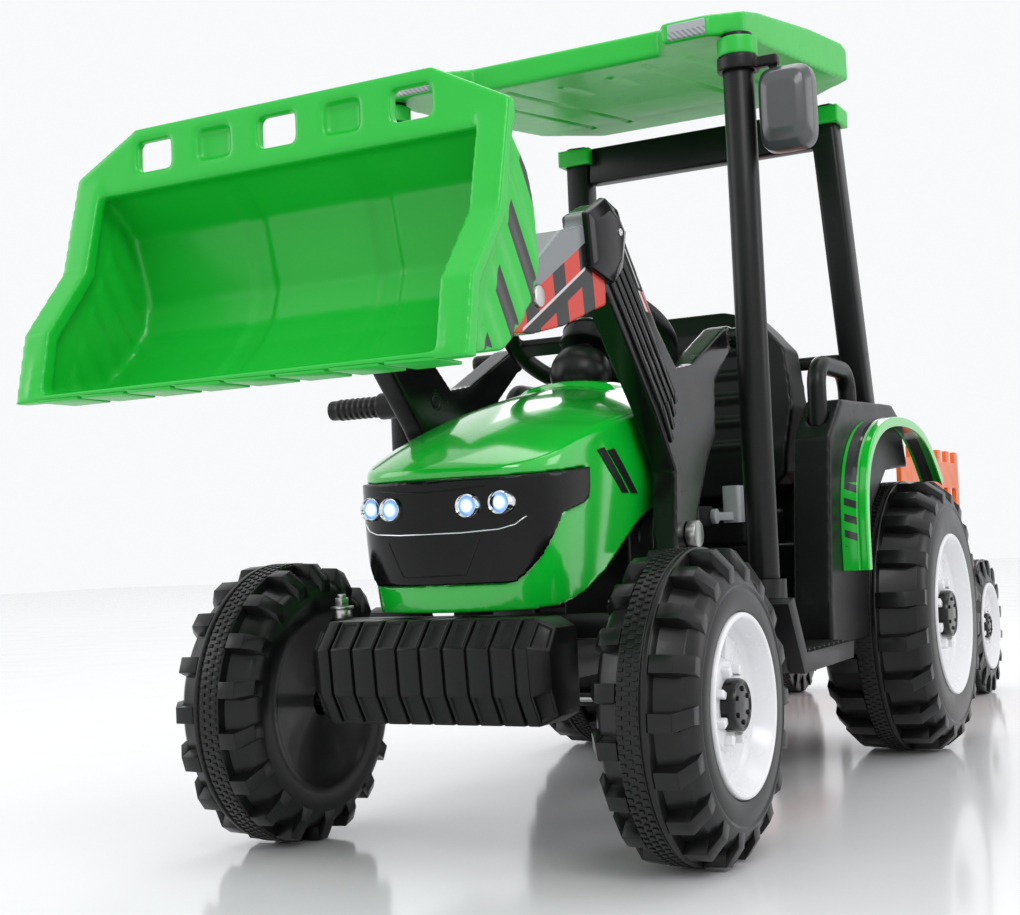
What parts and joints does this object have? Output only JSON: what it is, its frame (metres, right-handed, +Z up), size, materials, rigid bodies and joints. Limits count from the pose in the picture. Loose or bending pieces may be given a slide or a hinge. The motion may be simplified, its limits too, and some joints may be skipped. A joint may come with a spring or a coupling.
{
  "type": "toy front loader",
  "caption": "Child's ride-on tractor with a raised front loader bucket, posts and roof, steered front axle, and a small two-wheel fenced trailer.",
  "frame": {"origin": "on the ground at the centre of the bounding box, on the tractor's plane of symmetry", "axes": "+Z up, the tractor faces -Y, its left side is +X"},
  "size_m": [0.628, 2.133, 0.972],
  "materials": {
    "tyre_plastic": "satin blow-moulded black plastic with tread bars",
    "rim_plastic": "gloss white moulded plastic",
    "black_plastic": "fine-grained black moulded plastic",
    "black_gloss": "gloss black moulded plastic",
    "green_gloss": "high-gloss bright green moulded plastic",
    "green_satin": "satin bright green moulded plastic",
    "steel_black": "black powder-coated steel",
    "steel_zinc": "zinc-plated steel",
    "lamp_glass": "clear bluish lamp lenses",
    "reflector": "grey ribbed reflector sheet",
    "orange_plastic": "satin orange moulded plastic",
    "silver_plastic": "silver-grey moulded plastic"
  },
  "bodies": {
    "chassis": {"chassis_frame": "steel_black", "front_weights": "black_plastic", "front_axle_beam": "steel_black", "hood": "green_gloss", "grille": "black_gloss", "headlamps": "lamp_glass", "dashboard": "black_plastic", "floor_pan": "black_plastic", "side_steps": "black_plastic", "seat_base": "black_plastic", "seat_back": "black_plastic", "rear_body": "black_plastic", "rear_housing_left": "black_plastic", "rear_housing_right": "black_plastic", "fender_left": "green_gloss", "fender_right": "green_gloss", "grab_handles": "black_plastic", "battery": "black_plastic", "front_posts": "black_plastic", "rear_posts": "black_plastic", "crossbars": "black_plastic", "roof": "green_satin", "post_sockets": "black_plastic", "roof_reflectors": "reflector", "loader_brackets": "steel_black", "loader_pivot_bolts": "steel_zinc", "rear_axle": "steel_zinc", "drive_gearboxes": "black_plastic", "tow_hitch": "steel_black", "mirror_arms": "black_plastic"},
    "steering": {"steering_wheel": "black_plastic", "steering_column": "steel_zinc"},
    "knuckle_left": {"knuckle_left": "steel_black"},
    "knuckle_right": {"knuckle_right": "steel_black"},
    "tie_rod": {"tie_rod": "steel_zinc"},
    "loader": {"loader_arm_left": "black_gloss", "loader_arm_right": "black_gloss", "elbow_covers": "black_gloss", "arm_cross_tube": "steel_black"},
    "bucket": {"bucket_shell": "green_satin", "bucket_brackets": "black_plastic"},
    "tilt_handle": {"tilt_handle": "black_plastic"},
    "mirror_left": {"mirror_head_left": "black_plastic"},
    "mirror_right": {"mirror_head_right": "black_plastic"},
    "pedal": {"pedal": "black_plastic"},
    "gear_lever": {"gear_lever": "silver_plastic"},
    "trailer": {"trailer_bed": "orange_plastic", "trailer_frame": "steel_black"},
    "front_wheel_left": {"front_tyre_left": "tyre_plastic", "front_rim_left": "rim_plastic"},
    "front_wheel_right": {"front_tyre_right": "tyre_plastic", "front_rim_right": "rim_plastic"},
    "rear_wheel_left": {"rear_tyre_left": "tyre_plastic", "rear_rim_left": "rim_plastic"},
    "rear_wheel_right": {"rear_tyre_right": "tyre_plastic", "rear_rim_right": "rim_plastic"},
    "trailer_wheel_left": {"trailer_tyre_left": "tyre_plastic", "trailer_rim_left": "rim_plastic"},
    "trailer_wheel_right": {"trailer_tyre_right": "tyre_plastic", "trailer_rim_right": "rim_plastic"}
  },
  "joints": [
    {"name": "steer_left", "type": "hinge", "parent": "chassis", "child": "knuckle_left", "pos_m": [0.165, -0.6635, 0.151], "axis": [0, 0, 1], "range_deg": [-16, 16]},
    {"name": "front_wheel_left_spin", "type": "hinge", "parent": "knuckle_left", "child": "front_wheel_left", "pos_m": [0.237, -0.6635, 0.151], "axis": [1, 0, 0], "continuous": true},
    {"name": "rear_wheel_left_spin", "type": "hinge", "parent": "chassis", "child": "rear_wheel_left", "pos_m": [0.233, 0.1655, 0.19], "axis": [1, 0, 0], "continuous": true},
    {"name": "trailer_wheel_left_spin", "type": "hinge", "parent": "trailer", "child": "trailer_wheel_left", "pos_m": [0.182, 0.9415, 0.125], "axis": [1, 0, 0], "continuous": true},
    {"name": "mirror_left_swivel", "type": "hinge", "parent": "chassis", "child": "mirror_left", "pos_m": [0.268, -0.4165, 0.822], "axis": [0, 0, 1], "range_deg": [-15, 15]},
    {"name": "steer_right", "type": "hinge", "parent": "chassis", "child": "knuckle_right", "pos_m": [-0.165, -0.6635, 0.151], "axis": [0, 0, 1], "range_deg": [-16, 16]},
    {"name": "front_wheel_right_spin", "type": "hinge", "parent": "knuckle_right", "child": "front_wheel_right", "pos_m": [-0.237, -0.6635, 0.151], "axis": [1, 0, 0], "continuous": true},
    {"name": "rear_wheel_right_spin", "type": "hinge", "parent": "chassis", "child": "rear_wheel_right", "pos_m": [-0.233, 0.1655, 0.19], "axis": [1, 0, 0], "continuous": true},
    {"name": "trailer_wheel_right_spin", "type": "hinge", "parent": "trailer", "child": "trailer_wheel_right", "pos_m": [-0.182, 0.9415, 0.125], "axis": [1, 0, 0], "continuous": true},
    {"name": "mirror_right_swivel", "type": "hinge", "parent": "chassis", "child": "mirror_right", "pos_m": [-0.268, -0.4165, 0.822], "axis": [0, 0, 1], "range_deg": [-15, 15]},
    {"name": "tie_rod_swing", "type": "hinge", "parent": "knuckle_left", "child": "tie_rod", "pos_m": [0.161, -0.5965, 0.15], "axis": [0, 0, 1], "range_deg": [-16, 16]},
    {"name": "steering_wheel_turn", "type": "hinge", "parent": "chassis", "child": "steering", "pos_m": [0, -0.3555, 0.556], "axis": [0, 0.5446, 0.8387], "range_deg": [-48, 48]},
    {"name": "loader_lift", "type": "hinge", "parent": "chassis", "child": "loader", "pos_m": [0, -0.4565, 0.315], "axis": [-1, 0, 0], "range_deg": [-42, 0]},
    {"name": "bucket_tilt", "type": "hinge", "parent": "loader", "child": "bucket", "pos_m": [0, -0.8765, 0.515], "axis": [1, 0, 0], "range_deg": [-30, 20]},
    {"name": "tilt_handle_turn", "type": "hinge", "parent": "loader", "child": "tilt_handle", "pos_m": [-0.2, -0.5045, 0.483], "axis": [1, 0, 0], "range_deg": [-30, 20]},
    {"name": "pedal_press", "type": "hinge", "parent": "chassis", "child": "pedal", "pos_m": [-0.08, -0.3185, 0.238], "axis": [1, 0, 0], "range_deg": [0, 12], "stiffness_Nm_per_rad": 0.6},
    {"name": "gear_shift", "type": "hinge", "parent": "chassis", "child": "gear_lever", "pos_m": [0.115, -0.2865, 0.336], "axis": [1, 0, 0], "range_deg": [-10, 10]},
    {"name": "trailer_yaw", "type": "hinge", "parent": "chassis", "child": "trailer", "pos_m": [0, 0.3935, 0.176], "axis": [0, 0, 1], "range_deg": [-35, 35]}
  ],
  "couplings": [
    {"joint": "steer_right", "follows": "steer_left", "ratio": 1},
    {"joint": "tie_rod_swing", "follows": "steer_left", "ratio": -1},
    {"joint": "steering_wheel_turn", "follows": "steer_left", "ratio": 3},
    {"joint": "tilt_handle_turn", "follows": "bucket_tilt", "ratio": 1}
  ]
}
